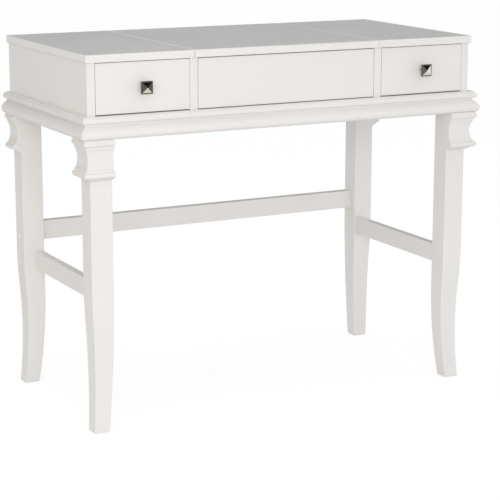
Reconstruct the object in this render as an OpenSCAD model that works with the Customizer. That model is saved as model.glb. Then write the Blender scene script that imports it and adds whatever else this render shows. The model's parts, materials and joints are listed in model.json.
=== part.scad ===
// Flip-top vanity table. A moulded case on four sabre legs holds two drawers and,
// between them, a compartment under a hinged lid that carries a mirror.
// X is to the right, Y to the back and Z up. The origin is on the floor, under the
// middle of the overall box. Sizes are in millimetres.

/* [Top] */
// Width of the three-board top
top_w = 902; // [880:1:920]
// Depth of the top
top_d = 445; // [435:1:455]
// Height of the top above the floor
table_h = 770; // [740:1:800]
// Thickness of the top boards
top_t = 16; // [15:0.5:18]
// Distance from the middle to each seam of the top
seam_x = 216.2; // [210:0.1:222]
// Width of each seam
seam_gap = 0.8; // [0.6:0.1:1.2]
// Overhang of the top at each side
side_overhang = 3.5; // [2:0.5:6]
// Overhang of the top at the front
front_overhang = 6; // [4:0.5:8]
// Overhang of the top at the back
back_overhang = 4.5; // [4:0.1:5]

/* [Case] */
// Height of the case under the top
case_h = 151; // [148:0.5:154]
// Height of the front rail under the drawers
rail_h = 46.1; // [44:0.1:50]
// Thickness of the case boards
board_t = 17.5; // [16:0.5:18]
// Thickness of the back panel
back_t = 15; // [12:0.5:18]
// Thickness of the case bottom
bottom_t = 12; // [9:0.5:12]

/* [Mouldings] */
// How far the case moulding stands out at its widest
moulding_d = 20.8; // [18:0.1:22]
// Height of the leg capitals
capital_h = 83; // [80:1:86]
// Radius of the capitals' hollow
capital_hollow_r = 48; // [46:1:52]

/* [Legs] */
// Side of the square leg at the top
leg_w = 47; // [44:1:50]
// Side of the square foot
foot_w = 33; // [30:1:38]
// Distance from the case side to the leg's outer face
leg_inset_x = 3.8; // [2:0.1:5]
// Distance from the case back to the rear leg's back face
leg_inset_back = 4; // [3:0.5:6]
// How far the outer faces bow inwards
bow = 5.9; // [4:0.1:8]
// Height at which they bow the most
bow_z = 128; // [110:1:150]
// Height above which the outer faces are straight
straight_z = 300; // [270:1:330]
// Height at which the inner faces start to taper
taper_z = 205; // [180:1:240]
// Side of the tenon that stands up in the case
tenon_w = 27; // [24:1:28]
// Height of the tenon
tenon_h = 34; // [30:1:35]

/* [Stretchers] */
// Height of the side stretchers' lower edge above the floor
side_stretcher_z = 262; // [240:1:280]
// Height of a side stretcher's section
side_stretcher_h = 39.5; // [36:0.5:44]
// Thickness of a side stretcher
side_stretcher_t = 16; // [15:0.5:20]
// Distance from the legs' inner faces to a side stretcher's inner face
side_stretcher_in = 4; // [1:0.5:8]
// Height of the back stretcher's lower edge above the floor
back_stretcher_z = 323; // [300:1:340]
// Height of the back stretcher's section
back_stretcher_h = 41; // [36:0.5:45]
// Thickness of the back stretcher
back_stretcher_t = 20; // [18:0.5:22]

/* [Drawers] */
// Gap at each side of a drawer front
front_gap = 0.8; // [0.8:0.1:2]
// Gap above a drawer front
front_gap_top = 1.6; // [1:0.1:2.5]
// Gap below a drawer front
front_gap_bottom = 2.2; // [1:0.1:3]
// Length of a drawer from the face of its front to its back
drawer_l = 385; // [360:1:400]
// Height of a drawer's sides
drawer_side_h = 78; // [70:1:82]
// Thickness of a drawer's sides and back
drawer_side_t = 12; // [11:0.5:14]
// Space between a drawer's side and the case
drawer_clearance = 2.5; // [2:0.1:4]
// Side of the square knob
knob_w = 25.5; // [22:0.5:28]
// Distance from the drawer front to the back of the knob's head
knob_stem_l = 16; // [12:0.5:20]
// Distance from the middle of the knob to the top of the table
knob_drop = 68; // [62:0.5:72]

/* [Lid and mirror] */
// Space between the closed lid and the case
lid_gap = 0.5; // [0.4:0.1:0.8]
// Width of the mirror frame over all
mirror_frame_w = 376; // [360:1:376]
// Depth of the mirror frame over all
mirror_frame_d = 378; // [360:1:378]
// Width of a mirror frame strip
strip_w = 16; // [14:0.5:20]
// Thickness of a mirror frame strip
strip_t = 9; // [8:0.5:10]
// Thickness of the mirror glass
glass_t = 4; // [3:0.5:4]

/* [Hidden] */

$fn = 48;
eps = 1; // how far a cutting tool runs past the face it cuts

paint = "whitesmoke";
primer = "gainsboro";
steel = "silver";
bronze = "dimgray";
nylon = "white";
mirror_silver = "lightsteelblue";

// Case
case_w = top_w - 2 * side_overhang;
case_d = top_d - front_overhang - back_overhang;
case_top = table_h - top_t;
case_z = case_top - case_h;
rail_top = case_z + rail_h;
inner_x = case_w / 2 - board_t;

// Hinges: the barrel lies against the back panel, tucked up under the lid's overhang
leaf_t = 1.2;
barrel_r = 2.6;
pin_r = 1.25;
pin_clearance = 0.05;
hinge_w = 50;
hinge_x = 140;
leaf_l = 22;
hinge_screw_x = 15;
knuckle_gap = 0.3;
hinge_offset = barrel_r + 0.2;

// Front to back: the knobs reach furthest forward and the hinge barrels furthest back
knob_plate_t = 3;
knob_pyramid_h = 3.2;
knob_reach = knob_stem_l + knob_plate_t + knob_pyramid_h;
overall_d = knob_reach + case_d + hinge_offset + barrel_r;
y_front = -overall_d / 2 + knob_reach;
y_back = y_front + case_d;
y_inner_front = y_front + board_t;
y_inner_back = y_back - back_t;
y_mid = (y_inner_front + y_inner_back) / 2;
top_y = y_front - front_overhang;

// Legs
leg_x = case_w / 2 - leg_inset_x;
leg_rear_y = y_back - leg_inset_back;
bow_r = bow_z * bow_z / (2 * bow);
bow_end_z = bow_z + bow_z * bow_z / (straight_z - bow_z);

// Drawers
divider_in = seam_x - board_t / 2;
divider_out = seam_x + board_t / 2;
opening_w = inner_x - divider_out;
drawer_x = (inner_x + divider_out) / 2;
box_w = opening_w - 2 * drawer_clearance;
box_z = rail_top + 6;
box_front = y_front + board_t;
box_back = y_front + drawer_l;
drawer_bottom_t = 4;
bottom_groove_d = 5;
bottom_groove_z = box_z + 8;
groove_clearance = 0.4;
runner_h = 9;
runner_reach = 5.3;
runner_groove_d = 6;
runner_z = box_z + drawer_side_h / 2;
knob_z = table_h - knob_drop;
knob_stem_r = 3.8;
knob_rim_w = 2.4;
knob_screw_r = 2;
knob_thread_l = 10;

// Lid
lid_z = case_top + lid_gap;
lid_x = seam_x - seam_gap / 2;
hinge_y = y_back + hinge_offset;
hinge_z = lid_z + leaf_t - barrel_r;
rebate_w = 5;
rebate_h = glass_t + 0.2;
bumper_x = 150;

// Folding stay: pivots as [y, z] from the hinge axis, with the lid closed
stay_case_pivot = [-70, -70];
stay_lid_pivot = [-110, -8];
stay_elbow = [-175, -78.3];
arm_w = 11;
arm_t = 1.8;
rivet_r = 2.4;
lower_arm_x = 203;
upper_arm_x = 200.8;
lid_tab_x = 198.6;
bracket_t = 1.5;

// Fastenings
screw_r = 1.5;
screw_head_r = 2.9;
screw_head_h = 1.4;
screw_l = 13;
dowel_r = 4;
dowel_l = 32;
dowel_pitch = 22;
bolt_r = 3;
bolt_clearance = 0.3;
bolt_l = 76;
bolt_head_r = 5;
bolt_sink = 8;
bolt_y = leg_rear_y - 9.4 - back_stretcher_t / 2;
bolt_up = 9.2;
bolt_z = back_stretcher_z + bolt_up;
barrel_nut_in = 26;
block_near = 58;
block_far = 84;
block_h = 30;
block_z = case_z + 2;
hanger_z = case_z + 17;

// A box from its lowest corner to its highest
module span(low, high) {
    translate(low) cube(high - low);
}

// Extrudes an outline drawn in X and Z along Y, from 0 to l
module along_y(l) {
    mirror([0, 1, 0]) rotate([90, 0, 0]) linear_extrude(l) children();
}

// Extrudes an outline drawn in Y and Z along X, from 0 to l
module along_x(l) {
    rotate([90, 0, 90]) linear_extrude(l) children();
}

// A cylinder along X, Y or the diagonal of X and Y, from 0 to l
module rod_x(r, l) {
    rotate([0, 90, 0]) cylinder(r = r, h = l);
}
module rod_y(r, l) {
    rotate([-90, 0, 0]) cylinder(r = r, h = l);
}

// Turns a right-hand piece into its left-hand twin
module on_side(side) {
    mirror([side < 0 ? 1 : 0, 0, 0]) children();
}

// Case panels
module side_panel(side) {
    color(paint) on_side(side) span([inner_x, y_front, case_z], [case_w / 2, y_back, case_top]);
}

module back_panel() {
    color(paint) span([-inner_x, y_inner_back, case_z], [inner_x, y_back, case_top]);
}

module divider(side) {
    color(paint) on_side(side)
        span([divider_in, y_front, rail_top], [divider_out, y_inner_back, case_top]);
}

module front_rail() {
    color(paint) span([-inner_x, y_front, case_z], [inner_x, y_inner_front, rail_top]);
}

module case_bottom() {
    color(primer)
        span([-inner_x, y_inner_front, rail_top - bottom_t], [inner_x, y_inner_back, rail_top]);
}

module centre_front() {
    color(paint)
        span([-divider_in + 1, y_front, rail_top + 1.4], [divider_in - 1, y_inner_front, case_top - front_gap_top]);
}

module centre_front_cleats() {
    color(primer) for (side = [-1, 1]) on_side(side)
        span([divider_in - 12, y_inner_front, rail_top + 6], [divider_in, y_inner_front + 12, case_top - 20]);
}

module fixed_top(side) {
    color(paint) on_side(side)
        span([seam_x + seam_gap / 2, top_y, case_top], [top_w / 2, top_y + top_d, table_h]);
}

// Case moulding: a small bead and a tight cove over an ogee that swells to a heavy nose
moulding_h = 46.3;
nose_r = 11;
nose_z = 11.4;
bead_r = 6.5;
bead_z = 38.1;
bead_x = 9.5;
cove_r = 3;
cove_x = 10.5;
cove_z = 28.6;
land_x = 8;
module moulding_section() {
    nose_x = moulding_d - nose_r;
    run = nose_x - land_x;
    drop = cove_z - nose_z;
    slope = atan2(drop, run) - asin(nose_r / norm([run, drop]));
    difference() {
        union() {
            square([land_x, moulding_h]);
            translate([nose_x, nose_z]) circle(r = nose_r);
            polygon([[0, nose_z - nose_r], [nose_x, nose_z - nose_r], [nose_x, nose_z],
                [nose_x + nose_r * sin(slope), nose_z + nose_r * cos(slope)], [land_x, cove_z]]);
            translate([bead_x, bead_z]) circle(r = bead_r);
            translate([0, bead_z]) square([bead_x, moulding_h - bead_z]);
        }
        translate([cove_x, cove_z]) circle(r = cove_r);
        translate([-nose_r, -eps]) square([nose_r, moulding_h + 2 * eps]);
    }
}

module front_moulding() {
    half = case_w / 2;
    m = moulding_d;
    color(paint) intersection() {
        translate([-half - m, y_front, case_z]) along_x(2 * (half + m)) mirror([1, 0]) moulding_section();
        translate([0, 0, case_z - eps]) linear_extrude(moulding_h + 2 * eps)
            polygon([[-half - m, y_front - m], [half + m, y_front - m], [half, y_front], [-half, y_front]]);
    }
}

module side_moulding(side) {
    half = case_w / 2;
    m = moulding_d;
    color(paint) on_side(side) intersection() {
        translate([half, y_front - m, case_z]) along_y(case_d + m) moulding_section();
        translate([0, 0, case_z - eps]) linear_extrude(moulding_h + 2 * eps)
            polygon([[half, y_front], [half + m, y_front - m], [half + m, y_back], [half, y_back]]);
    }
}

// Legs: a sabre leg with its outer corner at the origin and its body towards +X and +Y.
// The outer faces bow inwards as an arc and ease back to straight above bow_end_z.
function bow_arc(z) = bow - (z - bow_z) * (z - bow_z) / (2 * bow_r);
function bow_tail(z) = bow_arc(bow_end_z) * pow((straight_z - z) / (straight_z - bow_end_z), 2);
function outer_bow(z) = z > straight_z ? 0 : z > bow_end_z ? bow_tail(z) : bow_arc(z);
function inner_taper(z) = z > taper_z ? 0 : (leg_w - foot_w) * pow(1 - z / taper_z, 2);

leg_rings = 25;
module leg_outline() {
    heights = [for (i = [0:leg_rings]) straight_z * i / leg_rings];
    polygon(concat(
        [for (z = heights) [outer_bow(z), z]],
        [[0, case_z], [leg_w, case_z]],
        [for (i = [leg_rings:-1:0]) [leg_w - inner_taper(heights[i]), heights[i]]]));
}

module plain_leg() {
    intersection() {
        along_y(leg_w) leg_outline();
        along_x(leg_w) leg_outline();
    }
}

// Places a piece drawn with its outer corner at the origin on one of the four legs
module at_leg(side, end) {
    translate([side * leg_x, end < 0 ? y_front : leg_rear_y, 0])
        mirror([side > 0 ? 1 : 0, 0, 0]) mirror([0, end > 0 ? 1 : 0, 0]) children();
}

module tenon(side, end) {
    near = end < 0 ? y_inner_front : y_inner_back - tenon_w;
    on_side(side) span([inner_x - tenon_w, near, case_z - eps], [inner_x, near + tenon_w, case_z + tenon_h]);
}

module leg(side, end) {
    color(paint) difference() {
        union() {
            at_leg(side, end) plain_leg();
            tenon(side, end);
        }
        side_dowels(side, end, dowel_r);
        if (end > 0) bolt_hole(side);
        hanger_bolt(side, end, bolt_r);
    }
}

// Capital: a bead and a fillet above and below a deep hollow
module capital_section() {
    waist_d = 7.3;
    waist_z = 43.5;
    hollow_low = 24;
    hollow_high = 65.5;
    bead = 6;
    difference() {
        union() {
            polygon([[0, 0], [12.6, 7.5], [13.3, hollow_low], [13.9, hollow_high],
                [15, capital_h], [0, capital_h]]);
            translate([13.3, 13.8]) circle(r = bead);
            translate([13.2, 76.5]) circle(r = bead);
        }
        intersection() {
            translate([waist_d + capital_hollow_r, waist_z]) circle(r = capital_hollow_r, $fn = 128);
            translate([0, hollow_low]) square([2 * capital_hollow_r, hollow_high - hollow_low]);
        }
    }
}

capital_reach = 20;
module capital_side() {
    along_y(leg_w + capital_reach) mirror([1, 0]) capital_section();
}
module capital_front() {
    along_x(leg_w + capital_reach) mirror([1, 0]) capital_section();
}

// The front capitals turn the outer corner of the leg, mitred; the rear ones cover the outer face only
module capital(side, end) {
    r = capital_reach;
    color(paint) at_leg(side, end) translate([0, 0, case_z - capital_h]) {
        intersection() {
            translate([0, end < 0 ? -r : 0, 0]) capital_side();
            linear_extrude(capital_h)
                polygon([[-r, end < 0 ? -r : 0], [0, 0], [0, leg_w], [-r, leg_w]]);
        }
        if (end < 0) intersection() {
            translate([-r, 0, 0]) capital_front();
            linear_extrude(capital_h) polygon([[-r, -r], [leg_w, -r], [leg_w, 0], [0, 0]]);
        }
    }
}

// Corner blocks and hanger bolts hold each leg's tenon into the corner of the case
module at_corner(side, end) {
    translate([side * inner_x, end < 0 ? y_inner_front : y_inner_back, 0])
        mirror([side > 0 ? 1 : 0, 0, 0]) mirror([0, end > 0 ? 1 : 0, 0]) children();
}

module corner_blocks() {
    color(primer) for (side = [-1, 1], end = [-1, 1]) difference() {
        at_corner(side, end) translate([0, 0, block_z]) linear_extrude(block_h)
            polygon([[block_near, 0], [block_far, 0], [0, block_far], [0, block_near]]);
        hanger_bolt(side, end, bolt_r + bolt_clearance);
    }
}

hanger_in = 24;
hanger_l = 52;
hanger_nut_l = 7;
module hanger_bolt(side, end, r) {
    at_corner(side, end) translate([0, 0, hanger_z]) rotate([0, 0, 45]) translate([hanger_in, 0, 0])
        rod_x(r, hanger_l);
}

module hanger_bolts() {
    color(steel) for (side = [-1, 1], end = [-1, 1]) hanger_bolt(side, end, bolt_r);
}

module hanger_nuts() {
    color(steel) for (side = [-1, 1], end = [-1, 1])
        at_corner(side, end) translate([0, 0, hanger_z]) rotate([0, 0, 45])
            translate([block_far / sqrt(2), 0, 0]) difference() {
                union() {
                    rod_x(9, 1.6);
                    rotate([0, 90, 0]) cylinder(r = 5.8, h = hanger_nut_l, $fn = 6);
                }
                translate([-eps, 0, 0]) rod_x(bolt_r + 0.05, hanger_nut_l + 2 * eps);
            }
}

// Stretchers
module side_stretcher(side) {
    out = leg_x - leg_w + side_stretcher_in + side_stretcher_t;
    color(paint) difference() {
        on_side(side) span(
            [out - side_stretcher_t, y_front + leg_w, side_stretcher_z],
            [out, leg_rear_y - leg_w, side_stretcher_z + side_stretcher_h]);
        for (end = [-1, 1]) side_dowels(side, end, dowel_r);
    }
}

// The two dowels at one end of a side stretcher
module side_dowels(side, end, r) {
    x = leg_x - leg_w + side_stretcher_in + side_stretcher_t / 2;
    joint_y = end < 0 ? y_front + leg_w : leg_rear_y - leg_w;
    mid_z = side_stretcher_z + side_stretcher_h / 2;
    for (up = [-1, 1])
        translate([side * x, joint_y - dowel_l / 2, mid_z + up * dowel_pitch / 2]) rod_y(r, dowel_l);
}

module stretcher_dowels() {
    color("burlywood") for (side = [-1, 1], end = [-1, 1]) side_dowels(side, end, dowel_r);
}

module back_stretcher() {
    half = leg_x - leg_w;
    color(paint) difference() {
        span([-half, bolt_y - back_stretcher_t / 2, back_stretcher_z],
            [half, bolt_y + back_stretcher_t / 2, back_stretcher_z + back_stretcher_h]);
        for (side = [-1, 1]) {
            bolt_hole(side);
            barrel_nut_hole(side);
        }
    }
}

// The hole for a connecting bolt, sunk for its head in the leg's outer face
module bolt_hole(side) {
    on_side(side) translate([leg_x - bolt_sink - bolt_l, bolt_y, bolt_z]) {
        rod_x(bolt_r + bolt_clearance, bolt_l + eps);
        translate([bolt_l, 0, 0]) rod_x(6, bolt_sink + eps);
    }
}

module barrel_nut_hole(side) {
    on_side(side) translate([leg_x - leg_w - barrel_nut_in, bolt_y - 4, bolt_z])
        rod_y(5, back_stretcher_t / 2 + 4 + eps);
}

// A connecting bolt and its barrel nut at each end of the back stretcher
module stretcher_connectors() {
    color(steel) {
        stretcher_bolts();
        barrel_nuts();
    }
}

module stretcher_bolts() {
    for (side = [-1, 1]) on_side(side)
        translate([leg_x - bolt_sink - bolt_l + 3, bolt_y, bolt_z]) {
            rod_x(bolt_r, bolt_l - 3 + eps);
            translate([bolt_l - 3, 0, 0]) difference() {
                rod_x(bolt_head_r, 5);
                translate([2, 0, 0]) rotate([0, 90, 0]) cylinder(r = 2.3, h = 4, $fn = 6);
            }
        }
}

module barrel_nuts() {
    for (side = [-1, 1]) on_side(side) difference() {
        translate([leg_x - leg_w - barrel_nut_in, bolt_y - 4, bolt_z]) rod_y(4.9, 12);
        translate([leg_x - leg_w - barrel_nut_in - 10, bolt_y, bolt_z]) rod_x(bolt_r + bolt_clearance, 20);
    }
}

module bolt_caps() {
    color(nylon) for (side = [-1, 1]) on_side(side) translate([leg_x, bolt_y, bolt_z]) {
        rod_x(6.8, 1.2);
        translate([-2.5, 0, 0]) rod_x(5.8, 2.6);
    }
}

// Drawers
module drawer_front(side) {
    half = opening_w / 2 - front_gap;
    color(paint) translate([side * drawer_x, 0, 0]) difference() {
        span([-half, y_front, rail_top + front_gap_bottom], [half, y_inner_front, case_top - front_gap_top]);
        bottom_groove();
        translate([0, y_front - eps, knob_z]) rod_y(knob_screw_r + 0.2, board_t + 2 * eps);
    }
}

// The slot that the drawer bottom slides into, cut in the front and both sides
module bottom_groove() {
    half = box_w / 2 - drawer_side_t + bottom_groove_d;
    span([-half, box_front - bottom_groove_d, bottom_groove_z],
        [half, box_back + eps, bottom_groove_z + drawer_bottom_t + groove_clearance]);
}

module drawer_sides(side) {
    color(primer) translate([side * drawer_x, 0, 0]) for (hand = [-1, 1]) on_side(hand) difference() {
        span([box_w / 2 - drawer_side_t, box_front, box_z], [box_w / 2, box_back, box_z + drawer_side_h]);
        bottom_groove();
        span([box_w / 2 - runner_groove_d, box_front + 12, runner_z - runner_h / 2 - 0.5],
            [box_w / 2 + eps, box_back + eps, runner_z + runner_h / 2 + 0.5]);
    }
}

module drawer_back(side) {
    half = box_w / 2 - drawer_side_t;
    color(primer) translate([side * drawer_x, 0, 0])
        span([-half, box_back - drawer_side_t, bottom_groove_z + drawer_bottom_t + groove_clearance],
            [half, box_back, box_z + drawer_side_h]);
}

module drawer_bottom(side) {
    half = box_w / 2 - drawer_side_t + bottom_groove_d - 0.5;
    color(primer) translate([side * drawer_x, 0, 0])
        span([-half, box_front - bottom_groove_d + 0.5, bottom_groove_z],
            [half, box_back, bottom_groove_z + drawer_bottom_t]);
}

// Four runner strips, two to a drawer, fixed to the side panels and the dividers
module drawer_runners() {
    out = drawer_clearance + runner_reach;
    color(primer) for (side = [-1, 1]) on_side(side) for (x = [divider_out, inner_x - out])
        span([x, box_front + 14, runner_z - runner_h / 2], [x + out, y_inner_back - 2, runner_z + runner_h / 2]);
}

// Square knob: a round stem, a square plate and a low pyramid
module knob(side) {
    face = y_front - knob_stem_l - knob_plate_t;
    half = knob_w / 2;
    point = half - knob_rim_w;
    color(bronze) translate([side * drawer_x, 0, knob_z]) difference() {
        union() {
            translate([0, y_front - knob_stem_l - 0.5, 0]) rod_y(knob_stem_r, knob_stem_l + 0.5);
            span([-half, face, -half], [half, face + knob_plate_t, half]);
            intersection() {
                translate([-half, face, 0]) along_x(knob_w)
                    polygon([[0, -point], [-knob_pyramid_h, 0], [0, point]]);
                translate([0, face, -half]) linear_extrude(knob_w)
                    polygon([[-point, 0], [0, -knob_pyramid_h], [point, 0]]);
            }
        }
        translate([0, y_front - knob_thread_l - 2, 0]) rod_y(knob_screw_r, knob_thread_l + 2 + eps);
    }
}

module knob_screw(side) {
    color(steel) translate([side * drawer_x, y_front - knob_thread_l, knob_z]) {
        rod_y(knob_screw_r, knob_thread_l + board_t);
        translate([0, knob_thread_l + board_t, 0]) rod_y(4, 2.4);
    }
}

// Hinges
// Draws a piece on both hinges, from the middle of the barrel
module on_hinges() {
    for (side = [-1, 1]) translate([side * hinge_x, hinge_y, hinge_z]) children();
}

module knuckle(from, to) {
    translate([from, 0, 0]) difference() {
        rod_x(barrel_r, to - from);
        translate([-eps, 0, 0]) rod_x(pin_r + pin_clearance, to - from + 2 * eps);
    }
}

knuckle_half = hinge_w / 6;
module hinge_case_leaves() {
    half = hinge_w / 2;
    color(steel) on_hinges() {
        for (hand = [-1, 1]) on_side(hand) knuckle(knuckle_half + knuckle_gap, half);
        difference() {
            span([-half, -hinge_offset, -leaf_l], [half, -hinge_offset + leaf_t, -0.2]);
            span([-knuckle_half - knuckle_gap, -hinge_offset - eps, -barrel_r - 0.6],
                [knuckle_half + knuckle_gap, 0, eps]);
            for (x = [-1, 1] * hinge_screw_x) case_screw(x, screw_r + 0.1, screw_head_r + 0.1);
        }
    }
}

module case_screw(x, shank_r, head_r) {
    translate([x, -hinge_offset + leaf_t - screw_l, -14]) {
        rod_y(shank_r, screw_l);
        translate([0, screw_l - screw_head_h, 0]) rotate([-90, 0, 0])
            cylinder(r1 = shank_r, r2 = head_r, h = screw_head_h);
    }
}

module case_screws() {
    color(steel) {
        on_hinges() for (x = [-1, 1] * hinge_screw_x) case_screw(x, screw_r, screw_head_r);
        bracket_screws(screw_r, screw_head_r);
    }
}

module hinge_pins() {
    half = hinge_w / 2;
    color(steel) on_hinges() {
        translate([-half - 1, 0, 0]) rod_x(pin_r, hinge_w + 2);
        for (x = [-half - 1.5, half + 0.1]) translate([x, 0, 0]) rod_x(barrel_r - 0.4, 1.4);
    }
}

module hinge_lid_leaves() {
    half = hinge_w / 2;
    top = barrel_r;
    color(steel) on_hinges() {
        knuckle(-knuckle_half, knuckle_half);
        difference() {
            span([-half, -leaf_l, top - leaf_t], [half, 0.4, top]);
            for (hand = [-1, 1]) on_side(hand)
                span([knuckle_half, -hinge_offset - 0.4, 0], [half + eps, barrel_r, top + eps]);
            for (x = [-1, 1] * hinge_screw_x) lid_screw(x, screw_r + 0.1, screw_head_r + 0.1);
        }
    }
}

module lid_screw(x, shank_r, head_r) {
    translate([x, -14, barrel_r - leaf_t]) {
        cylinder(r = shank_r, h = screw_l);
        cylinder(r1 = head_r, r2 = shank_r, h = screw_head_h);
    }
}

module lid_screws() {
    color(steel) {
        on_hinges() for (x = [-1, 1] * hinge_screw_x) lid_screw(x, screw_r, screw_head_r);
        lid_bracket_screws(screw_r, screw_head_r);
    }
}

// Two clear pads on the centre front, which the closed lid comes down on
module lid_bumpers() {
    base = case_top - front_gap_top;
    color(nylon) for (side = [-1, 1])
        translate([side * bumper_x, y_front + board_t / 2, base]) cylinder(r = 4, h = lid_z - 0.2 - base);
}

// Lid
module lid_board() {
    color(paint) difference() {
        span([-lid_x, top_y, lid_z], [lid_x, top_y + top_d, table_h]);
        on_hinges() {
            span([-hinge_w / 2 - 0.5, -leaf_l - 0.5, 0], [hinge_w / 2 + 0.5, 20, barrel_r]);
            span([-hinge_w / 2 - 2, -hinge_offset - 0.4, 0], [hinge_w / 2 + 2, 20, barrel_r + 0.5]);
        }
    }
}

module mirror_glass() {
    inset = strip_w * 2 - 2 * rebate_w + 0.6;
    w = mirror_frame_w - inset;
    d = mirror_frame_d - inset;
    color(mirror_silver) translate([-w / 2, y_mid - d / 2, lid_z - glass_t]) cube([w, d, glass_t]);
}

// A frame strip's section: across from the outer edge, and down from the lid; the rebate holds the glass
module strip_section() {
    lip = strip_w - rebate_w;
    polygon([[0, 0], [lip, 0], [lip, -rebate_h], [strip_w, -rebate_h], [strip_w, -rebate_h - 1.6],
        [strip_w - 3, -strip_t], [1, -strip_t], [0, -strip_t + 1]]);
}

module frame_plan(long, across) {
    polygon([[-long / 2, -across / 2], [long / 2, -across / 2],
        [long / 2 - strip_w, -across / 2 + strip_w], [-long / 2 + strip_w, -across / 2 + strip_w]]);
}

module mirror_strip_y(end) {
    w = mirror_frame_w;
    d = mirror_frame_d;
    color(paint) translate([0, y_mid, lid_z]) mirror([0, end > 0 ? 1 : 0, 0]) intersection() {
        translate([-w / 2, -d / 2, 0]) along_x(w) strip_section();
        translate([0, 0, -strip_t - eps]) linear_extrude(strip_t + 2 * eps) frame_plan(w, d);
    }
}

module mirror_strip_x(side) {
    w = mirror_frame_w;
    d = mirror_frame_d;
    color(paint) translate([0, y_mid, lid_z]) mirror([side > 0 ? 1 : 0, 0, 0]) intersection() {
        translate([-w / 2, -d / 2, 0]) along_y(d) strip_section();
        translate([0, 0, -strip_t - eps]) linear_extrude(strip_t + 2 * eps)
            rotate([0, 0, -90]) frame_plan(d, w);
    }
}

// Folding stay on the right of the compartment
module at_pivot(x, p) {
    translate([x, hinge_y + p[0], hinge_z + p[1]]) children();
}

// A flat bar with round ends between two pivots
module arm(x, a, b) {
    d = b - a;
    l = norm(d);
    at_pivot(x, a) rotate([atan2(d[1], d[0]), 0, 0]) {
        rod_x(arm_w / 2, arm_t);
        translate([0, l, 0]) rod_x(arm_w / 2, arm_t);
        translate([0, 0, -arm_w / 2 + 1.5]) cube([arm_t, l, arm_w - 3]);
    }
}

module stay_lower_arm() {
    color(steel) {
        difference() {
            arm(lower_arm_x, stay_case_pivot, stay_elbow);
            at_pivot(lower_arm_x - eps, stay_case_pivot) rod_x(rivet_r + pin_clearance, arm_t + 2 * eps);
        }
        at_pivot(lower_arm_x + arm_t - 0.1, stay_elbow) rod_x(rivet_r + 1.2, 1.3);
    }
}

module stay_upper_arm() {
    color(steel) {
        difference() {
            arm(upper_arm_x, stay_lid_pivot, stay_elbow);
            at_pivot(upper_arm_x - eps, stay_lid_pivot) rod_x(rivet_r + pin_clearance, arm_t + 2 * eps);
        }
        at_pivot(upper_arm_x - 1.2, stay_elbow) rod_x(rivet_r + 1.2, 1.3);
    }
}

// The screws that hold the stay's plates: two in the divider and two in the lid
module bracket_screws(shank_r, head_r) {
    for (z = [-21, -11]) at_pivot(divider_in - bracket_t, stay_case_pivot) translate([0, 0, z]) {
        rod_x(shank_r, screw_l);
        rotate([0, 90, 0]) cylinder(r1 = head_r, r2 = shank_r, h = screw_head_h);
    }
}
module lid_bracket_screws(shank_r, head_r) {
    drop = lid_z - hinge_z - stay_lid_pivot[1];
    for (y = [-11, 11]) at_pivot(lid_tab_x - 2.5, stay_lid_pivot) translate([0, y, drop - bracket_t]) {
        cylinder(r = shank_r, h = screw_l);
        cylinder(r1 = head_r, r2 = shank_r, h = screw_head_h);
    }
}

module stay_case_bracket() {
    plate = divider_in - bracket_t;
    color(steel) {
        difference() {
            at_pivot(plate, stay_case_pivot) translate([0, -9, -27]) cube([bracket_t, 18, 39]);
            bracket_screws(screw_r + 0.1, screw_head_r + 0.1);
        }
        at_pivot(lower_arm_x - 0.3, stay_case_pivot) rod_x(rivet_r, plate - lower_arm_x + 0.4);
        at_pivot(lower_arm_x - 0.3 - 1.2, stay_case_pivot) rod_x(rivet_r + 1.2, 1.2);
        at_pivot(lower_arm_x + arm_t + 0.3, stay_case_pivot) rod_x(rivet_r + 1.2, plate - lower_arm_x - arm_t - 0.2);
    }
}

module stay_lid_bracket() {
    drop = lid_z - hinge_z - stay_lid_pivot[1];
    color(steel) {
        difference() {
            at_pivot(lid_tab_x - 6, stay_lid_pivot)
                translate([0, -15, drop - bracket_t]) cube([6 + bracket_t, 30, bracket_t]);
            lid_bracket_screws(screw_r + 0.1, screw_head_r + 0.1);
        }
        at_pivot(lid_tab_x, stay_lid_pivot) {
            translate([0, -6, 0]) cube([bracket_t, 12, drop]);
            rod_x(6, bracket_t);
            rod_x(rivet_r, upper_arm_x - lid_tab_x + arm_t + 0.3);
            translate([upper_arm_x - lid_tab_x + arm_t + 0.2, 0, 0]) rod_x(rivet_r + 1, 0.6);
        }
    }
}

side_panel(-1);  // left_side_panel
side_panel(1);  // right_side_panel
back_panel();
divider(-1);  // left_divider
divider(1);  // right_divider
front_rail();
centre_front();
centre_front_cleats();
case_bottom();
fixed_top(-1);  // left_top
fixed_top(1);  // right_top
front_moulding();
side_moulding(-1);  // left_moulding
side_moulding(1);  // right_moulding
leg(-1, -1);  // front_left_leg
leg(1, -1);  // front_right_leg
leg(-1, 1);  // rear_left_leg
leg(1, 1);  // rear_right_leg
capital(-1, -1);  // front_left_capital
capital(1, -1);  // front_right_capital
capital(-1, 1);  // rear_left_capital
capital(1, 1);  // rear_right_capital
side_stretcher(-1);  // left_stretcher
side_stretcher(1);  // right_stretcher
back_stretcher();
stretcher_dowels();
stretcher_connectors();
bolt_caps();
corner_blocks();
hanger_bolts();
hanger_nuts();
drawer_runners();
hinge_case_leaves();
hinge_pins();
case_screws();
stay_case_bracket();
lid_bumpers();
lid_board();
mirror_glass();
mirror_strip_y(-1);  // mirror_strip_front
mirror_strip_y(1);  // mirror_strip_back
mirror_strip_x(-1);  // mirror_strip_left
mirror_strip_x(1);  // mirror_strip_right
hinge_lid_leaves();
lid_screws();
stay_lid_bracket();
stay_lower_arm();
stay_upper_arm();
drawer_front(-1);  // left_drawer_front
drawer_sides(-1);  // left_drawer_sides
drawer_back(-1);  // left_drawer_back
drawer_bottom(-1);  // left_drawer_bottom
knob(-1);  // left_knob
knob_screw(-1);  // left_knob_screw
drawer_front(1);  // right_drawer_front
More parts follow.
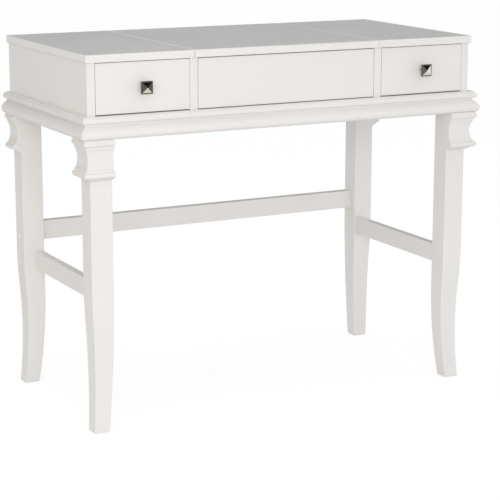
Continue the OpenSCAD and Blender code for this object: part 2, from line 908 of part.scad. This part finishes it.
drawer_sides(1);  // right_drawer_sides
drawer_back(1);  // right_drawer_back
drawer_bottom(1);  // right_drawer_bottom
knob(1);  // right_knob
knob_screw(1);  // right_knob_screw
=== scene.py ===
"""Looks for the flip-top vanity table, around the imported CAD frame.

Lacquered boards with eased edges, mouldings and capitals swept from their sections, lofted sabre legs,
faceted metal knobs, plated hardware and a silvered mirror.
"""

import json
import math

import bmesh
import bpy
from mathutils import Euler, Matrix, Vector


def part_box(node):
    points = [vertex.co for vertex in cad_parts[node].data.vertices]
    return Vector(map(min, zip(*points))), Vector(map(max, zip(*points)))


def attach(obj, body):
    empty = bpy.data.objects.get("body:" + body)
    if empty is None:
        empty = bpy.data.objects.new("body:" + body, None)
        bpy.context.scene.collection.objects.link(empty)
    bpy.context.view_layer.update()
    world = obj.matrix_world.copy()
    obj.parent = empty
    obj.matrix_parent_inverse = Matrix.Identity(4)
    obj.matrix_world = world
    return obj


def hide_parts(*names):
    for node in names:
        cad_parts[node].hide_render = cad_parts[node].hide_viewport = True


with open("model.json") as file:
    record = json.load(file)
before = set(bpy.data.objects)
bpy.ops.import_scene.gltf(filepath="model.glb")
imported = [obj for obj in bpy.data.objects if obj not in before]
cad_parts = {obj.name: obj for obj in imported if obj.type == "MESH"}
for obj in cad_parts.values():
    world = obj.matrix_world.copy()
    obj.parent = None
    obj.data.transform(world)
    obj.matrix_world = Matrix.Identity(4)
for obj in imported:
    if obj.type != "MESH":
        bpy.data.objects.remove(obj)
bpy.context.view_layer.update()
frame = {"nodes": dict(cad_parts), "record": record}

MM = 0.001
SIDES = {"left": -1, "right": 1}
ENDS = {"front": -1, "rear": 1}


# --- Camera, light and floor ---

VIEW_AZIMUTH = -28.6
VIEW_ELEVATION = 12.79
VIEW_ROLL = 0.3
VIEW_DISTANCE = 3.8
VIEW_AIM = (0.0533, -0.0570, 0.2948)
LENS = 124.2
VIEW_SHIFT = (-0.05, 0.0065)


def view_direction():
    """From the aim point towards the camera."""
    a, e = math.radians(VIEW_AZIMUTH), math.radians(VIEW_ELEVATION)
    return Vector((math.sin(a) * math.cos(e), -math.cos(a) * math.cos(e), math.sin(e)))


def add_camera():
    data = bpy.data.cameras.new("camera")
    data.lens = LENS
    data.shift_x, data.shift_y = VIEW_SHIFT
    camera = bpy.data.objects.new("camera", data)
    turn = Euler((math.radians(90 - VIEW_ELEVATION), 0, math.radians(VIEW_AZIMUTH))).to_matrix()
    roll = Matrix.Rotation(math.radians(VIEW_ROLL), 3, "Z")
    camera.matrix_world = (turn @ roll).to_4x4()
    camera.location = Vector(VIEW_AIM) + view_direction() * VIEW_DISTANCE
    bpy.context.scene.collection.objects.link(camera)
    bpy.context.scene.camera = camera


def add_area_light(name, size, power, place, target, colour=(1, 1, 1), mirrored=False):
    """A softbox in watts and metres, which polished surfaces reflect only if it is mirrored."""
    data = bpy.data.lights.new(name, "AREA")
    data.shape = "RECTANGLE"
    data.size, data.size_y = size
    data.energy = power
    data.color = colour
    light = bpy.data.objects.new(name, data)
    light.location = place
    light.rotation_euler = (Vector(target) - Vector(place)).to_track_quat("-Z", "Y").to_euler()
    light.visible_glossy = mirrored
    bpy.context.scene.collection.objects.link(light)


def step(tree, value, start, end, low, high):
    """A value that goes from low to high as another goes from start to end."""
    node = tree.nodes.new("ShaderNodeMapRange")
    for name, number in (("From Min", start), ("From Max", end), ("To Min", low), ("To Max", high)):
        node.inputs[name].default_value = number
    tree.links.new(value, node.inputs["Value"])
    return node.outputs["Result"]


def combined(tree, operation, first, second):
    """The product or sum of two values."""
    node = tree.nodes.new("ShaderNodeMath")
    node.operation = operation
    tree.links.new(first, node.inputs[0])
    tree.links.new(second, node.inputs[1])
    return node.outputs["Value"]


def place_axis(tree, kind, axis):
    """One axis of a kind of texture coordinate."""
    coordinates = tree.nodes.new("ShaderNodeTexCoord")
    split = tree.nodes.new("ShaderNodeSeparateXYZ")
    tree.links.new(coordinates.outputs[kind], split.inputs["Vector"])
    return split.outputs[axis]


# What polished surfaces see of the dome. Top and bottom are the upward part of a direction, and side is
# the part of it towards the back.
BAND_TOP = 0.26
BAND_BOTTOM = 0.10
BAND_SIDE = -0.3
BAND_GLOW = 0.7
DOME_DARK = 0.02


def add_world(colour, strength):
    """An even dome of soft light, seen as white.

    Polished surfaces see it black but for a pale band low in front.
    """
    world = bpy.data.worlds.new("studio")
    world.use_nodes = True
    tree = world.node_tree
    background = tree.nodes["Background"]
    background.inputs["Color"].default_value = (*colour, 1)
    path = tree.nodes.new("ShaderNodeLightPath")
    plain = step(tree, path.outputs["Is Camera Ray"], 0, 1, strength, 1.0)
    low = step(tree, place_axis(tree, "Generated", "Z"), BAND_TOP, BAND_BOTTOM, DOME_DARK, BAND_GLOW)
    in_front = step(tree, place_axis(tree, "Generated", "Y"), 0, BAND_SIDE, 0, 1)
    seen = combined(tree, "MULTIPLY", low, in_front)
    mix = tree.nodes.new("ShaderNodeMix")
    tree.links.new(plain, mix.inputs["A"])
    tree.links.new(path.outputs["Is Glossy Ray"], mix.inputs["Factor"])
    tree.links.new(seen, mix.inputs["B"])
    tree.links.new(mix.outputs["Result"], background.inputs["Strength"])
    bpy.context.scene.world = world


FLOOR_GREY = 0.42
FLOOR_GLOW = 0.66
FLOOR_BOUNCE = 0.22
FLOOR_REACH = 40

# What polished surfaces see of the floor, by the distance behind the table's middle in metres.
FAR_END = -10
FAR_START = -5.8
STRIP_START = -1.9
STRIP_END = -1.3
PATCH_FRONT = -1.15
PATCH_BACK = -0.85
PATCH_END = -0.7
BEHIND_START = 0.3
BEHIND_END = 0.9

# How bright its parts look, and what share of that is left behind the table.
STRIP_GLOW = 0.17
PLAIN_GLOW = 0.9
PATCH_GLOW = 0.85
BEHIND_SHARE = 0.75


def add_floor():
    """A pale glowing sweep.

    Matt surfaces get less light from it than it shows. Polished ones see it bright just in front of the
    table, dark across a strip further off and a little dimmer behind.
    """
    material = bpy.data.materials.new("floor")
    material.use_nodes = True
    tree = material.node_tree
    shader = tree.nodes["Principled BSDF"]
    shader.inputs["Base Color"].default_value = (FLOOR_GREY, FLOOR_GREY, FLOOR_GREY, 1)
    shader.inputs["Roughness"].default_value = 0.9
    shader.inputs["Specular IOR Level"].default_value = 0.0
    shader.inputs["Emission Color"].default_value = (1, 1, 1, 1)
    path = tree.nodes.new("ShaderNodeLightPath")
    glow = step(tree, path.outputs["Is Diffuse Ray"], 0, 1, FLOOR_GLOW, FLOOR_BOUNCE)
    tree.links.new(glow, shader.inputs["Emission Strength"])
    y = place_axis(tree, "Object", "Y")
    front = step(tree, y, STRIP_START, STRIP_END, STRIP_GLOW, PLAIN_GLOW)
    behind = step(tree, y, BEHIND_START, BEHIND_END, 1, BEHIND_SHARE)
    patch_rise = step(tree, y, STRIP_END, PATCH_FRONT, 0, PATCH_GLOW)
    patch_fall = step(tree, y, PATCH_BACK, PATCH_END, 1, 0)
    near = combined(tree, "MULTIPLY", patch_rise, patch_fall)
    seen = combined(tree, "ADD", combined(tree, "MULTIPLY", front, behind), near)
    polished = tree.nodes.new("ShaderNodeEmission")
    tree.links.new(seen, polished.inputs["Strength"])
    mix = tree.nodes.new("ShaderNodeMixShader")
    reach = step(tree, y, FAR_END, FAR_START, 0, 1)
    share = combined(tree, "MULTIPLY", reach, path.outputs["Is Glossy Ray"])
    tree.links.new(share, mix.inputs["Fac"])
    tree.links.new(shader.outputs["BSDF"], mix.inputs[1])
    tree.links.new(polished.outputs["Emission"], mix.inputs[2])
    tree.links.new(mix.outputs["Shader"], tree.nodes["Material Output"].inputs["Surface"])
    mesh = bpy.data.meshes.new("floor")
    r = FLOOR_REACH
    mesh.from_pydata([(-r, -r, 0), (r, -r, 0), (r, r, 0), (-r, r, 0)], [], [(0, 1, 2, 3)])
    floor = bpy.data.objects.new("floor", mesh)
    mesh.materials.append(material)
    bpy.context.scene.collection.objects.link(floor)


TABLE_MIDDLE = (0, 0, 0.55)
RIGHT_KNOB = (0.34, -0.2, 0.69)

bpy.context.scene.view_settings.view_transform = "Standard"
add_camera()
add_world((0.99, 1.0, 1.0), 0.78)
add_area_light("key", (1.8, 1.2), 29, (-1.2, -2.9, 1.1), TABLE_MIDDLE, (0.96, 0.955, 0.985))
add_area_light("left", (1.4, 1.4), 9, (-2.6, -2.0, 1.3), TABLE_MIDDLE, (1.0, 0.82, 0.66))
add_area_light("top", (2.5, 2.5), 7, (0, 0, 3.5), (0, 0, 0), (0.55, 0.80, 1.0))
add_area_light("glint", (0.8, 0.55), 3.0, (2.2, -1.1, 0.33), RIGHT_KNOB, mirrored=True)
add_floor()


# --- Materials ---

def node_material(name):
    """A new material with its tree, its shader and a helper that adds a node."""
    material = bpy.data.materials.new(name)
    material.use_nodes = True
    tree = material.node_tree
    shader = tree.nodes["Principled BSDF"]

    def add(kind, **values):
        node = tree.nodes.new(kind)
        for key, value in values.items():
            if hasattr(node, key):
                setattr(node, key, value)
            else:
                node.inputs[key.replace("_", " ")].default_value = value
        return node

    return material, tree.links.new, shader, add


def ramp(add, link, factor, low, high, start=0.3, end=0.7):
    """A colour ramp from low to high over the factor's middle."""
    node = add("ShaderNodeValToRGB")
    node.color_ramp.elements[0].position = start
    node.color_ramp.elements[0].color = (*low, 1)
    node.color_ramp.elements[1].position = end
    node.color_ramp.elements[1].color = (*high, 1)
    link(factor, node.inputs["Fac"])
    return node.outputs["Color"]


def spread(add, link, factor, low, high):
    """Maps a factor from 0 to 1 onto low to high."""
    node = add("ShaderNodeMapRange", To_Min=low, To_Max=high)
    link(factor, node.inputs["Value"])
    return node.outputs["Result"]


def stretched(add, link, place, along, across, axis):
    """Coordinates that stretch a texture along one axis."""
    node = add("ShaderNodeMapping")
    node.inputs["Scale"].default_value = [along if a == axis else across for a in "XYZ"]
    link(place, node.inputs["Vector"])
    return node.outputs["Vector"]


def bump(add, link, shader, height, strength, distance):
    node = add("ShaderNodeBump", Strength=strength, Distance=distance)
    link(height, node.inputs["Height"])
    link(node.outputs["Normal"], shader.inputs["Normal"])


# The lacquer's textures, per metre.
CLOUD_SCALE = 5.0
GRAIN_ALONG = 18
GRAIN_ACROSS = 420
PEEL_SCALE = 520.0


def lacquer(name, colour, roughness, grain_axis, peel=0.06):
    """Sprayed lacquer over wood: faint cloudiness, orange peel and a trace of the grain."""
    material, link, shader, add = node_material(name)
    place = add("ShaderNodeTexCoord").outputs["Object"]
    cloud = add("ShaderNodeTexNoise", Scale=CLOUD_SCALE, Detail=3.0)
    link(place, cloud.inputs["Vector"])
    darker = tuple(c * 0.975 for c in colour)
    link(ramp(add, link, cloud.outputs["Fac"], darker, colour), shader.inputs["Base Color"])
    grain = add("ShaderNodeTexNoise", Scale=1.0, Detail=4.0, Roughness=0.6)
    link(stretched(add, link, place, GRAIN_ALONG, GRAIN_ACROSS, grain_axis), grain.inputs["Vector"])
    orange = add("ShaderNodeTexNoise", Scale=PEEL_SCALE, Detail=1.0)
    link(place, orange.inputs["Vector"])
    mix = add("ShaderNodeMath", operation="MULTIPLY_ADD")
    mix.inputs[1].default_value = 0.5
    link(grain.outputs["Fac"], mix.inputs[0])
    link(orange.outputs["Fac"], mix.inputs[2])
    bump(add, link, shader, mix.outputs[0], peel, 0.0004)
    link(spread(add, link, cloud.outputs["Fac"], roughness - 0.05, roughness + 0.05),
         shader.inputs["Roughness"])
    shader.inputs["IOR"].default_value = 1.48
    return material


def polished_metal(name, colour, roughness, tarnish):
    """Polished cast metal: a slow drift of tone, faint tarnish and hairline polishing marks."""
    material, link, shader, add = node_material(name)
    shader.inputs["Metallic"].default_value = 1.0
    place = add("ShaderNodeTexCoord").outputs["Object"]
    drift = add("ShaderNodeTexNoise", Scale=140.0, Detail=4.0)
    link(place, drift.inputs["Vector"])
    link(ramp(add, link, drift.outputs["Fac"], tarnish, colour), shader.inputs["Base Color"])
    marks = add("ShaderNodeTexNoise", Scale=1.0, Detail=3.0)
    link(stretched(add, link, place, 300, 6000, "X"), marks.inputs["Vector"])
    bump(add, link, shader, marks.outputs["Fac"], 0.05, 0.0001)
    link(spread(add, link, drift.outputs["Fac"], roughness * 0.7, roughness * 1.3),
         shader.inputs["Roughness"])
    return material


def zinc(name):
    """Zinc-plated steel: crystal blotches, a drawn texture and uneven gloss."""
    material, link, shader, add = node_material(name)
    shader.inputs["Metallic"].default_value = 1.0
    place = add("ShaderNodeTexCoord").outputs["Object"]
    crystals = add("ShaderNodeTexVoronoi", Scale=260.0)
    link(place, crystals.inputs["Vector"])
    cloud = add("ShaderNodeTexNoise", Scale=60.0, Detail=4.0)
    link(place, cloud.inputs["Vector"])
    link(ramp(add, link, cloud.outputs["Fac"], (0.50, 0.51, 0.52), (0.68, 0.68, 0.67)),
         shader.inputs["Base Color"])
    link(spread(add, link, crystals.outputs["Distance"], 0.28, 0.42), shader.inputs["Roughness"])
    drawn = add("ShaderNodeTexNoise", Scale=1.0, Detail=3.0)
    link(stretched(add, link, place, 60, 2600, "Y"), drawn.inputs["Vector"])
    bump(add, link, shader, drawn.outputs["Fac"], 0.12, 0.0001)
    return material


def moulded_nylon(name, colour):
    """Moulded plastic: a satin skin with a fine spark-eroded texture."""
    material, link, shader, add = node_material(name)
    place = add("ShaderNodeTexCoord").outputs["Object"]
    fine = add("ShaderNodeTexNoise", Scale=2200.0, Detail=2.0)
    link(place, fine.inputs["Vector"])
    broad = add("ShaderNodeTexNoise", Scale=90.0, Detail=2.0)
    link(place, broad.inputs["Vector"])
    link(ramp(add, link, broad.outputs["Fac"], tuple(c * 0.96 for c in colour), colour),
         shader.inputs["Base Color"])
    bump(add, link, shader, fine.outputs["Fac"], 0.15, 0.0001)
    link(spread(add, link, broad.outputs["Fac"], 0.26, 0.36), shader.inputs["Roughness"])
    shader.inputs["IOR"].default_value = 1.53
    return material


def beech(name):
    """Bare beech: pale pinkish brown with fine rays and pores along the length."""
    material, link, shader, add = node_material(name)
    place = add("ShaderNodeTexCoord").outputs["Object"]
    grain = add("ShaderNodeTexNoise", Scale=1.0, Detail=6.0, Roughness=0.65)
    link(stretched(add, link, place, 30, 700, "Y"), grain.inputs["Vector"])
    link(ramp(add, link, grain.outputs["Fac"], (0.42, 0.27, 0.15), (0.66, 0.47, 0.29)),
         shader.inputs["Base Color"])
    bump(add, link, shader, grain.outputs["Fac"], 0.3, 0.0002)
    link(spread(add, link, grain.outputs["Fac"], 0.5, 0.7), shader.inputs["Roughness"])
    return material


def silvered_glass(name):
    """Mirror glass: a clear silver reflection with the faintest haze and dust."""
    material, link, shader, add = node_material(name)
    shader.inputs["Metallic"].default_value = 1.0
    place = add("ShaderNodeTexCoord").outputs["Object"]
    haze = add("ShaderNodeTexNoise", Scale=9.0, Detail=5.0)
    link(place, haze.inputs["Vector"])
    link(ramp(add, link, haze.outputs["Fac"], (0.84, 0.87, 0.86), (0.90, 0.92, 0.91)),
         shader.inputs["Base Color"])
    link(spread(add, link, haze.outputs["Fac"], 0.01, 0.05), shader.inputs["Roughness"])
    return material


WHITE = (0.82, 0.800, 0.776)
INSIDE = (0.77, 0.755, 0.735)
paint = {axis: lacquer(f"lacquer_{axis.lower()}", WHITE, 0.36, axis) for axis in "XYZ"}
inside = {axis: lacquer(f"inside_{axis.lower()}", INSIDE, 0.5, axis, peel=0.09) for axis in "XY"}
bronze = polished_metal("bronze", (0.42, 0.385, 0.35), 0.11, (0.34, 0.31, 0.28))
plated = zinc("zinc_plate")
nylon = moulded_nylon("nylon", (0.88, 0.88, 0.86))
bare_beech = beech("beech")
mirror = silvered_glass("silvered_glass")


# --- Meshes ---

def body_of(node):
    return next(b for b, nodes in frame["record"]["behaviour"]["bodies"].items() if node in nodes)


def slot_of(node):
    return next(s["material_slot"] for s in frame["record"]["subparts"] if s["node"] == node)


def piece_for(node, mesh_data, material, sharp=35):
    """Makes the smooth-shaded piece that stands for one CAD node and rides on the node's body."""
    mesh = bpy.data.meshes.new(node + "_made")
    bmesh.ops.recalc_face_normals(mesh_data, faces=mesh_data.faces)
    mesh_data.to_mesh(mesh)
    mesh_data.free()
    piece = bpy.data.objects.new(node + "_made", mesh)
    bpy.context.scene.collection.objects.link(piece)
    mesh.materials.append(material)
    mesh.shade_smooth()
    mesh.set_sharp_from_angle(angle=math.radians(sharp))
    piece.modifiers.new("flat faces stay flat", "WEIGHTED_NORMAL").keep_sharp = True
    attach(piece, body_of(node))
    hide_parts(node)


def ease(work, width, segments=3, angle=30):
    """Rounds every edge sharper than the angle over the given width."""
    edges = [e for e in work.edges if e.is_manifold and e.calc_face_angle(0) > math.radians(angle)]
    bmesh.ops.bevel(work, geom=edges, offset=width, segments=segments, profile=0.5, affect="EDGES",
                    clamp_overlap=True)


def flat_faced(node):
    """A copy of a flat-faced CAD node with one face for each side."""
    work = bmesh.new()
    work.from_mesh(frame["nodes"][node].data)
    bmesh.ops.remove_doubles(work, verts=work.verts, dist=1e-6)
    bmesh.ops.dissolve_limit(work, angle_limit=math.radians(1), verts=work.verts, edges=work.edges)
    return work


def eased_board(node, material, width):
    """A copy of a flat-faced CAD node with its edges eased."""
    work = flat_faced(node)
    ease(work, width)
    piece_for(node, work, material)


def top_board(node, material, width, seam_x):
    """A board of the top: chamfered where it meets a seam, and eased along its other edges."""
    work = flat_faced(node)
    top = max(v.co.z for v in work.verts)
    seams = [e for e in work.edges
             if all(abs(abs(v.co.x) - seam_x) < MM and abs(v.co.z - top) < 1e-5 for v in e.verts)]
    bmesh.ops.bevel(work, geom=seams, offset=SEAM_CHAMFER, segments=1, affect="EDGES")
    ease(work, width, angle=60)
    piece_for(node, work, material)


def skin(work, rings):
    """Joins rings of points into a closed shell with flat ends."""
    loops = [[work.verts.new(p) for p in ring] for ring in rings]
    count = len(loops[0])
    for low, high in zip(loops, loops[1:]):
        for i in range(count):
            j = (i + 1) % count
            work.faces.new((low[i], low[j], high[j], high[i]))
    work.faces.new(loops[0])
    work.faces.new(loops[-1])


def arc(centre, radius, start, end, steps):
    """Points along an arc, with its angles in degrees."""
    angles = [math.radians(start + (end - start) * i / steps) for i in range(steps + 1)]
    return [(centre[0] + radius * math.cos(a), centre[1] + radius * math.sin(a)) for a in angles]


def lathe(work, centre, axis, profile, steps=32):
    """Turns a profile of (radius, distance along the axis) round the axis."""
    axis = Vector(axis).normalized()
    across = axis.orthogonal().normalized()
    third = axis.cross(across)
    turns = [2 * math.pi * i / steps for i in range(steps)]
    skin(work, [[Vector(centre) + axis * along + (across * math.cos(t) + third * math.sin(t)) * radius
                 for t in turns] for radius, along in profile])


def swept(node, section, corners, material, width=0.35):
    """Sweeps a section of (out, up) in millimetres past corners of (point, outward direction)."""
    work = bmesh.new()
    skin(work, [[Vector(point) + Vector((way[0] * out, way[1] * out, up)) * MM for out, up in section]
                for point, way in corners])
    ease(work, width * MM, segments=2, angle=40)
    piece_for(node, work, material)


# --- Case, stretchers, drawers and mirror frame ---

SEAM_CHAMFER = 1.7 * MM
TOP_EASE = 1.6

# The finish of each board and how wide its edges are eased, in millimetres.
BOARDS = {
    "left_side_panel": (paint["Y"], 0.8), "right_side_panel": (paint["Y"], 0.8),
    "back_panel": (paint["X"], 0.8), "left_divider": (paint["Y"], 0.8), "right_divider": (paint["Y"], 0.8),
    "front_rail": (paint["X"], 0.8), "centre_front": (paint["X"], 1.2),
    "centre_front_cleats": (inside["Y"], 0.6), "case_bottom": (inside["X"], 0.6),
    "corner_blocks": (inside["X"], 0.8), "drawer_runners": (inside["Y"], 0.8),
    "left_stretcher": (paint["Y"], 1.2), "right_stretcher": (paint["Y"], 1.2),
    "back_stretcher": (paint["X"], 1.2),
}
for side in SIDES:
    BOARDS[f"{side}_drawer_front"] = (paint["X"], 1.2)
    BOARDS[f"{side}_drawer_sides"] = (inside["Y"], 0.8)
    BOARDS[f"{side}_drawer_back"] = (inside["X"], 0.8)
    BOARDS[f"{side}_drawer_bottom"] = (inside["X"], 0.3)
    BOARDS[f"mirror_strip_{side}"] = (paint["Y"], 0.5)
for end in ("front", "back"):
    BOARDS[f"mirror_strip_{end}"] = (paint["X"], 0.5)
for node, (material, width) in BOARDS.items():
    eased_board(node, material, width * MM)
for node in ("left_top", "lid_board", "right_top"):
    top_board(node, paint["X"], TOP_EASE * MM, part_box("lid_board")[1][0])


# --- Mouldings ---

# Sections reach this far into the face behind them, so that no groove opens there.
BEHIND = -0.5


def moulding_section():
    """A small bead and a tight cove over an ogee that swells to a heavy nose, as (out, up) in millimetres."""
    land = [(BEHIND, 0), (8, 0), (8, 0.4)]
    nose = arc((9.8, 11.4), 11, -90, 45.5, 18)
    cove = arc((10.5, 28.6), 3, 279.7, 146.4, 7)
    bead = arc((9.5, 38.1), 6.5, -103.3, 90, 16)
    fillet = [(9.5, 46.3), (BEHIND, 46.3)]
    return land + nose + cove + bead + fillet


case_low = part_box("left_side_panel")[0]
case_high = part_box("right_side_panel")[1]
case_z = case_low[2]
CORNERS = {
    "left": ((case_low[0], case_high[1], case_z), (-1, 0)),
    "front_left": ((case_low[0], case_low[1], case_z), (-1, -1)),
    "front_right": ((case_high[0], case_low[1], case_z), (1, -1)),
    "right": ((case_high[0], case_high[1], case_z), (1, 0)),
}
swept("left_moulding", moulding_section(), [CORNERS["left"], CORNERS["front_left"]], paint["Y"])
swept("front_moulding", moulding_section(), [CORNERS["front_left"], CORNERS["front_right"]], paint["X"])
swept("right_moulding", moulding_section(), [CORNERS["front_right"], CORNERS["right"]], paint["Y"])


# --- Legs and capitals, in millimetres ---

LEG_W = 47
FOOT_W = 33
BOW = 5.9
BOW_Z = 128
STRAIGHT_Z = 300
TAPER_Z = 205
BOW_R = BOW_Z ** 2 / (2 * BOW)
BOW_END_Z = BOW_Z + BOW_Z ** 2 / (STRAIGHT_Z - BOW_Z)
ARRIS_R = 1.8
FOOT_EASE = 1.2
RING_STEP = 12
STRAIGHT_RINGS = (330, 420, 520)
CAPITAL_H = 83
TENON_W = 27
TENON_H = 34
PANEL = 17.5
LEG_OUT = 3.8
TENON_IN = PANEL - LEG_OUT


def outer_bow(z):
    """How far the outer faces stand inside the leg's corner at a height, in millimetres."""
    if z > STRAIGHT_Z:
        return 0
    if z <= BOW_END_Z:
        return BOW - (z - BOW_Z) ** 2 / (2 * BOW_R)
    left = BOW - (BOW_END_Z - BOW_Z) ** 2 / (2 * BOW_R)
    return left * ((STRAIGHT_Z - z) / (STRAIGHT_Z - BOW_END_Z)) ** 2


def inner_edge(z):
    """How far the inner faces stand from the leg's corner at a height, in millimetres."""
    return LEG_W - (0 if z > TAPER_Z else (LEG_W - FOOT_W) * (1 - z / TAPER_Z) ** 2)


def rounded_square(low, high, radius, steps=4):
    """The outline of a square with round corners, as (x, y)."""
    points = []
    for quarter, (x, y) in enumerate([(high, high), (low, high), (low, low), (high, low)]):
        cx = x - radius if x == high else x + radius
        cy = y - radius if y == high else y + radius
        points += arc((cx, cy), radius, 90 * quarter, 90 * quarter + 90, steps)
    return points


def leg(side, end):
    """A sabre leg lofted from rounded squares, with the tenon that stands up in the case."""
    node = f"{end}_{side}_leg"
    sx, sy = SIDES[side], ENDS[end]
    low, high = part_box(node)
    corner = Vector((low[0] if sx < 0 else high[0], low[1] if sy < 0 else high[1], 0))
    top = case_z / MM

    def placed(outline, z):
        return [corner + Vector((-sx * x, -sy * y, z)) * MM for x, y in outline]

    def ring(z, inset=0.0, radius=ARRIS_R):
        return placed(rounded_square(outer_bow(z) + inset, inner_edge(z) - inset, radius), z)

    work = bmesh.new()
    heights = [*range(RING_STEP, STRAIGHT_Z + 1, RING_STEP), *STRAIGHT_RINGS, top]
    skin(work, [ring(0, FOOT_EASE, FOOT_EASE), ring(FOOT_EASE)] + [ring(z) for z in heights])
    tenon = rounded_square(TENON_IN, TENON_IN + TENON_W, 1)
    skin(work, [placed(tenon, z) for z in (top, top + TENON_H)])
    piece_for(node, work, paint["Z"])


def capital_section():
    """A bead and a fillet above and below a deep hollow, as (out, up) in millimetres from the leg's face."""
    underside = [(BEHIND, 0), (12.6, 7.5)]
    lower_bead = arc((13.3, 13.8), 6, -95, 88, 14)
    hollow = [(13.3, 24)] + arc((55.3, 43.5), 48, 203.97, 152.72, 20) + [(13.9, 65.5)]
    upper_bead = arc((13.2, 76.5), 6, -84, 60, 14)
    top = [(16.4, 84.6), (9, 83.4), (BEHIND, 83)]
    return underside + lower_bead + hollow + upper_bead + top


def capital(side, end):
    """A front capital turns the leg's outer corner, and a rear one covers its outer face."""
    sx, sy = SIDES[side], ENDS[end]
    low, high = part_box(f"{end}_{side}_leg")
    x = low[0] if sx < 0 else high[0]
    y = low[1] if sy < 0 else high[1]
    z = case_z - CAPITAL_H * MM
    w = LEG_W * MM
    if end == "front":
        corners = [((x, y + w, z), (sx, 0)), ((x, y, z), (sx, -1)), ((x - sx * w, y, z), (0, -1))]
    else:
        corners = [((x, y, z), (sx, 0)), ((x, y - w, z), (sx, 0))]
    swept(f"{end}_{side}_capital", capital_section(), corners, paint["X"])


for side in SIDES:
    for end in ENDS:
        leg(side, end)
        capital(side, end)


# --- Knobs in millimetres, caps and pads ---

KNOB_RIM = 2.4
KNOB_PLATE = 3
KNOB_PYRAMID = 3.2
KNOB_EASE = 0.5
KNOB_TIP = 0.02
STEM_R = 3.8
FLARE_R = 4.8
CAP_RIM = 0.25


def knob(side):
    """A square plate with an eased edge, a flat rim and a low pyramid, on a turned stem."""
    node = f"{side}_knob"
    low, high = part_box(node)
    half = (high[0] - low[0]) / 2 / MM
    centre = Vector(((low[0] + high[0]) / 2, 0, (low[2] + high[2]) / 2))
    tip, face = low[1] / MM, high[1] / MM
    front = tip + KNOB_PYRAMID
    back = front + KNOB_PLATE
    outline = [(half - KNOB_EASE, back), (half, back - KNOB_EASE), (half, front + KNOB_EASE),
               (half - KNOB_EASE, front), (half - KNOB_RIM, front), (KNOB_TIP, tip)]
    work = bmesh.new()
    skin(work, [[centre + Vector((sx * h, y, sz * h)) * MM for sx, sz in ((-1, -1), (1, -1), (1, 1), (-1, 1))]
                for h, y in outline])
    stem = [(STEM_R, face), (STEM_R, back + 2.5), (FLARE_R, back + 0.6), (FLARE_R, back - 0.2)]
    lathe(work, centre, (0, 1, 0), [(r * MM, y * MM) for r, y in stem], steps=64)
    piece_for(node, work, bronze, sharp=12)


def domed_cap(work, centre, axis, radius, height):
    """A disc with a straight rim, CAP_RIM of its height, and a domed face."""
    profile = [(radius * 0.98, 0), (radius, height * CAP_RIM)]
    profile += [(radius * math.cos(a), height * (CAP_RIM + (1 - CAP_RIM) * math.sin(a)))
                for a in [math.radians(d) for d in (15, 30, 45, 60, 75, 87)]]
    lathe(work, centre, axis, profile)


def bolt_caps():
    low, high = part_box("bolt_caps")
    radius = (high[2] - low[2]) / 2
    work = bmesh.new()
    for side, sx in SIDES.items():
        leg_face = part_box(f"rear_{side}_leg")[0 if sx < 0 else 1][0]
        reach = abs(low[0] if sx < 0 else high[0]) - abs(leg_face)
        domed_cap(work, (leg_face, (low[1] + high[1]) / 2, (low[2] + high[2]) / 2), (sx, 0, 0), radius, reach)
    piece_for("bolt_caps", work, nylon, sharp=50)


def lid_bumpers():
    low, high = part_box("lid_bumpers")
    radius = (high[1] - low[1]) / 2
    work = bmesh.new()
    for sx in SIDES.values():
        x = low[0] + radius if sx < 0 else high[0] - radius
        domed_cap(work, (x, (low[1] + high[1]) / 2, low[2]), (0, 0, 1), radius, high[2] - low[2])
    piece_for("lid_bumpers", work, nylon, sharp=50)


for side in SIDES:
    knob(side)
bolt_caps()
lid_bumpers()


# --- What stays as the CAD made it ---

FINISHES = {"hardware": plated, "bare_wood": bare_beech, "mirror": mirror}
for node, obj in frame["nodes"].items():
    if obj.hide_render:
        continue
    obj.data.materials.clear()
    obj.data.materials.append(FINISHES[slot_of(node)])
